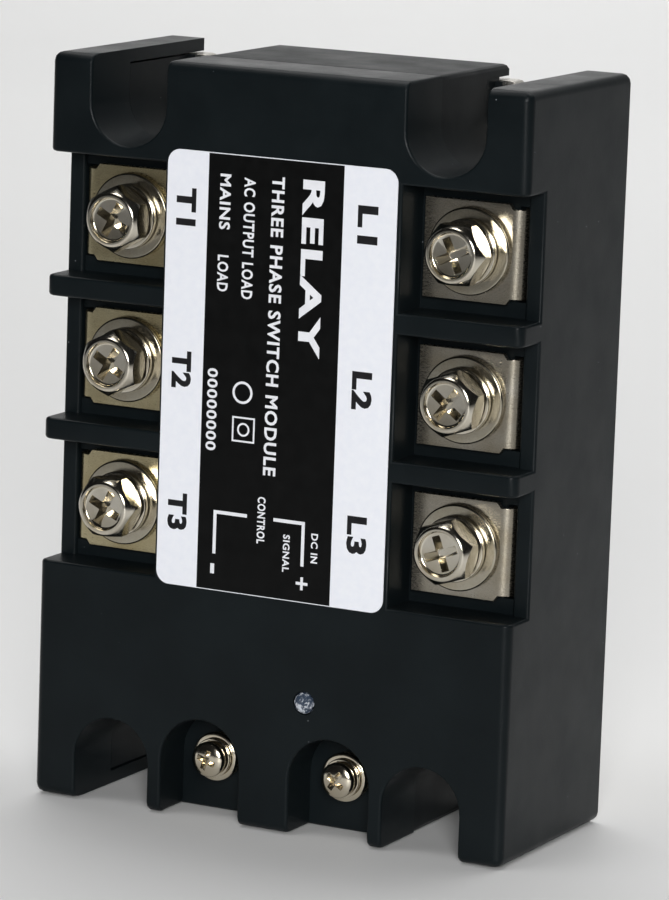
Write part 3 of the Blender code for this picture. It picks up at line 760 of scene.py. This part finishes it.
def white_print():
    """Generic wording and symbols across the black middle.

    Each row is the text, its middle in x and z, letter height, text length
    and added stroke weight.
    """
    rows = (("RELAY", 5.0, 78.6, 3.3, 24.2, 0.035),
            ("THREE PHASE SWITCH MODULE", -0.4, 70.2, 1.95, 41.0, 0.028),
            ("AC OUTPUT LOAD", -4.75, 81.9, 1.75, 16.6, 0.026),
            ("MAINS", -8.5, 86.6, 1.7, 7.6, 0.026),
            ("LOAD", -8.55, 76.8, 1.7, 5.0, 0.026),
            ("00000000", -9.6, 57.9, 1.6, 11.4, 0.024),
            ("CONTROL", -1.4, 43.4, 1.25, 6.5, 0.028),
            ("SIGNAL", 2.6, 39.3, 1.05, 5.2, 0.026),
            ("DC IN", 6.9, 40.5, 1.05, 4.1, 0.026))
    for text, x, z, height, length, weight in rows:
        yield lettering(text, x * MM, z * MM, height * MM, length * MM, weight)
    yield ring_mark(-4.9 * MM, 60.7 * MM, 1.55 * MM, 0.34 * MM)
    yield from frame_mark(-4.6 * MM, 55.6 * MM, 1.75 * MM, 0.24 * MM)
    yield ring_mark(-4.6 * MM, 55.6 * MM, 0.95 * MM, 0.26 * MM)
    yield from input_brackets()
    yield from polarity_signs()


def input_brackets():
    """Two angled lines that lead from the input wording to its signs."""
    across = (BRACKET_TOP, BRACKET_TOP + BRACKET_LINE)
    yield bar((BRACKET_LEFT, -3.6 * MM), across)
    yield bar((BRACKET_LEFT, BRACKET_LEFT + BRACKET_LINE), (37.9 * MM, BRACKET_TOP))
    yield bar((0.5 * MM, BRACKET_RIGHT), across)
    yield bar((BRACKET_RIGHT - BRACKET_LINE, BRACKET_RIGHT), (37.8 * MM, BRACKET_TOP))


def polarity_signs():
    """Plus sign made of three bars, and a minus sign."""
    upright = (4.95 * MM, 5.35 * MM)
    yield bar((4.25 * MM, 6.05 * MM), (35.2 * MM, 35.6 * MM))
    yield bar(upright, (34.5 * MM, 35.2 * MM))
    yield bar(upright, (35.6 * MM, 36.3 * MM))
    yield bar((-9.05 * MM, -8.45 * MM), (35.1 * MM, 36.5 * MM))


def black_print():
    """Terminal marks down the two white strips."""
    for mark, x in MARK_COLUMNS:
        for number, z in enumerate(MARK_Z, 1):
            yield lettering(f"{mark}{number}", x, z, 3.05 * MM, 5.2 * MM, 0.045)


def raise_to(obj, y):
    """Set a layer of the label at its height, riding on the housing."""
    obj.location.y = y
    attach(obj, "housing")


def build_label():
    low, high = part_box("label")
    back = high.y
    foil = to_object("label_sheet", prism(
        rounded_box((low.x, low.z), (high.x, high.z), LABEL_RADIUS), -FOIL, 0), label_foil())
    raise_to(foil, back)
    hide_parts("label")
    soften(foil, 0.03 * MM, 2)
    left, right = STRIP_EDGES
    bottom, top = low.z + BRIGHT_EDGE, high.z - BRIGHT_EDGE
    middle = to_object("label_black_middle", prism(
        [(left, bottom), (right, bottom), (right, top), (left, top)], -INK, 0),
        printed_ink("black_ink", (0.0022, 0.0024, 0.0024), (0.0040, 0.0042, 0.0042)))
    raise_to(middle, back - FOIL)
    white = merge(white_print(), "label_white_marks",
                  printed_ink("white_ink", (0.80, 0.81, 0.84), (0.72, 0.73, 0.77)))
    raise_to(white, back - FOIL - INK)
    black = merge(black_print(), "label_terminal_marks",
                  printed_ink("mark_ink", (0.010, 0.010, 0.011), (0.018, 0.018, 0.020)))
    raise_to(black, back - FOIL)


# ---------------------------------------------------------------- lamp

def build_lamp():
    """Moulded lens with a domed front."""
    low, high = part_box("status_lamp")
    middle = (low + high) / 2
    depth = high.y - low.y
    profile = [(0, 0)]
    for i in range(1, 11):
        angle = math.radians(9 * i)
        profile.append((LAMP_RADIUS * math.sin(angle), LAMP_DOME * (1 - math.cos(angle))))
    profile += [(LAMP_RADIUS, depth - 0.1 * MM), (LAMP_RADIUS - 0.1 * MM, depth), (0, depth)]
    lens = to_object("lamp_lens", lathe(profile), clear_lens())
    lens.data.shade_smooth()
    lens.location = (middle.x, low.y, middle.z)
    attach(lens, "housing")
    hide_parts("status_lamp")


# ---------------------------------------------------------------- frame nodes

def dress(node, look, bevel=0.0):
    """Give a frame node its material, and soft edges where a bevel is asked for."""
    obj = FRAME["nodes"][node]
    obj.data.materials.clear()
    obj.data.materials.append(look)
    if bevel:
        soften(obj, bevel, 2, 40, weld=True)
    else:
        smooth_by_angle(obj, SHARP_EDGE)


def dress_frame():
    dress("front_housing", black_plastic("housing_plastic", (0.0048, 0.0071, 0.0082),
                                         (0.0066, 0.0097, 0.0111), 0.34))
    dress("rear_case", black_plastic("case_plastic", (0.0046, 0.0064, 0.0074),
                                     (0.0062, 0.0084, 0.0094), 0.42))
    dress("base_plate", nickel("base_metal", (0.66, 0.63, 0.58), 0.30, (1, 1, 14),
                               stain=(0.93, 0.91, 0.88)), bevel=0.12 * MM)
    # One plating; the tints stand in for what each side reflects
    plates = {"left": nickel("busbar_nickel_left", (0.60, 0.53, 0.34), 0.25, (1, 1, 9), 0.10),
              "right": nickel("busbar_nickel", (0.44, 0.41, 0.35), 0.25, (1, 1, 9), 0.10)}
    brass = nickel("post_brass", (0.70, 0.60, 0.42), 0.24)
    nut = nickel("nut_nickel", (0.66, 0.62, 0.54), 0.25)
    board = glass_epoxy()
    package = moulded_package("package_black", (0.02, 0.02, 0.022))
    lacquer = banded_lacquer()
    ceramic = fired_ceramic()
    chip = metallised_chip()
    dress("circuit_board", board)
    for row in (1, 2, 3):
        dress(f"optocoupler_{row}", package)
        dress(f"gate_resistor_{row}", lacquer)
        dress(f"ceramic_{row}", ceramic)
        for side in ("left", "right"):
            dress(f"thyristor_{side}_{row}", chip)
            dress(f"nut_{side}_{row}", nut)
            dress(f"busbar_{side}_{row}", plates[side], bevel=0.10 * MM)
    for end in ("minus", "plus"):
        dress(f"input_post_{end}", brass)


# ---------------------------------------------------------------- stage

def build_stage():
    """Pale sweep: a floor that curves up into a backdrop."""
    profile = [(STAGE_FRONT, 0.0), (CURVE_START, 0.0)]
    for i in range(1, 17):
        angle = math.radians(90 * i / 16)
        profile.append((CURVE_START + CURVE_RADIUS * math.sin(angle),
                        CURVE_RADIUS * (1 - math.cos(angle))))
    profile.append((CURVE_START + CURVE_RADIUS, STAGE_TOP))
    bm = bmesh.new()
    rows = []
    for y, z in profile:
        rows.append([bm.verts.new((x, y, z - FLOOR_GAP))
                     for x in (-STAGE_HALF_WIDTH, STAGE_HALF_WIDTH)])
    for first, second in zip(rows, rows[1:]):
        bm.faces.new((first[0], first[1], second[1], second[0]))
    sweep = to_object("stage_sweep", bm, stage_paper())
    sweep.data.shade_smooth()
    sweep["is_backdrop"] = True


def soft_light(name, place_at, aim, size, power, spread):
    """Soft box; the spread, in degrees, keeps it off the rest of the stage."""
    data = bpy.data.lights.new(name, "AREA")
    data.spread = math.radians(spread)
    data.shape = "RECTANGLE"
    data.size, data.size_y = size
    data.energy = power
    lamp = bpy.data.objects.new(name, data)
    bpy.context.scene.collection.objects.link(lamp)
    lamp.location = place_at
    direction = Vector(aim) - Vector(place_at)
    lamp.rotation_mode = "QUATERNION"
    lamp.rotation_quaternion = direction.to_track_quat("-Z", "Y")


def build_lights():
    world = bpy.data.worlds.new("studio")
    world.use_nodes = True
    background = world.node_tree.nodes["Background"]
    background.inputs["Color"].default_value = (0.93, 0.96, 1.0, 1.0)
    background.inputs["Strength"].default_value = 0.01
    bpy.context.scene.world = world
    soft_light("overhead", (-0.25, 0.75, 1.25), (-0.25, 0.7, 0.0), (1.8, 1.2), 10.9, 130)
    soft_light("wall_wash", (-0.5, 0.6, 0.9), (-0.8, 1.6, 0.4), (0.8, 0.5), 1.9, 80)
    soft_light("floor_fill", (-0.25, -0.35, 1.1), (0, -0.02, 0), (0.5, 0.4), 0.16, 40)
    soft_light("front_key", (0.55, -1.05, 0.42), (0.02, 0.05, 0.085), (0.35, 0.45), 0.81, 40)


def build_camera():
    data = bpy.data.cameras.new("camera")
    data.sensor_width = 36.0
    data.sensor_fit = "AUTO"
    data.lens = CAMERA_LENS
    data.shift_x, data.shift_y = CAMERA_SHIFT
    data.clip_start = 0.05
    data.clip_end = 20.0
    camera = bpy.data.objects.new("camera", data)
    bpy.context.scene.collection.objects.link(camera)
    az, el, roll = CAMERA_AZIMUTH, CAMERA_ELEVATION, CAMERA_ROLL
    forward = Vector((-math.sin(az) * math.cos(el), math.cos(az) * math.cos(el), -math.sin(el)))
    level = Vector((math.cos(az), math.sin(az), 0))
    above = level.cross(forward)
    right = level * math.cos(roll) + above * math.sin(roll)
    up = above * math.cos(roll) - level * math.sin(roll)
    turn = Matrix((right, up, -forward)).transposed()
    camera.matrix_world = Matrix.Translation(CAMERA_PLACE) @ turn.to_4x4()
    bpy.context.scene.camera = camera


def corners(box):
    """Low and high corner of a box, as plain lists."""
    return [list(box[0]), list(box[1])]


for item in list(bpy.data.objects):
    bpy.data.objects.remove(item, do_unlink=True)
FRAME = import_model()
CAD_BOX = corners(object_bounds())
LOAD_TAGS = list(HEAD_TURNS)
INPUT_TAGS = list(PAN_TURNS)
bright = nickel("bright_nickel", (0.72, 0.68, 0.59), 0.15)
warm = nickel("warm_nickel", (0.74, 0.68, 0.56), 0.14, pits=0.6)
dull = nickel("washer_nickel", (0.52, 0.485, 0.40), 0.20)
dress_frame()
build_load_screws(bright)
build_input_screws(warm)
build_washers((dull, bright), "", LOAD_TAGS, LOAD_BORES)
build_washers((warm, warm), "input_", INPUT_TAGS, INPUT_BORES)
build_label()
build_lamp()
build_stage()
build_lights()
build_camera()
bpy.context.scene.view_settings.view_transform = "Standard"

bpy.context.view_layer.update()
{"cad": CAD_BOX, "visual": corners(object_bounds())}
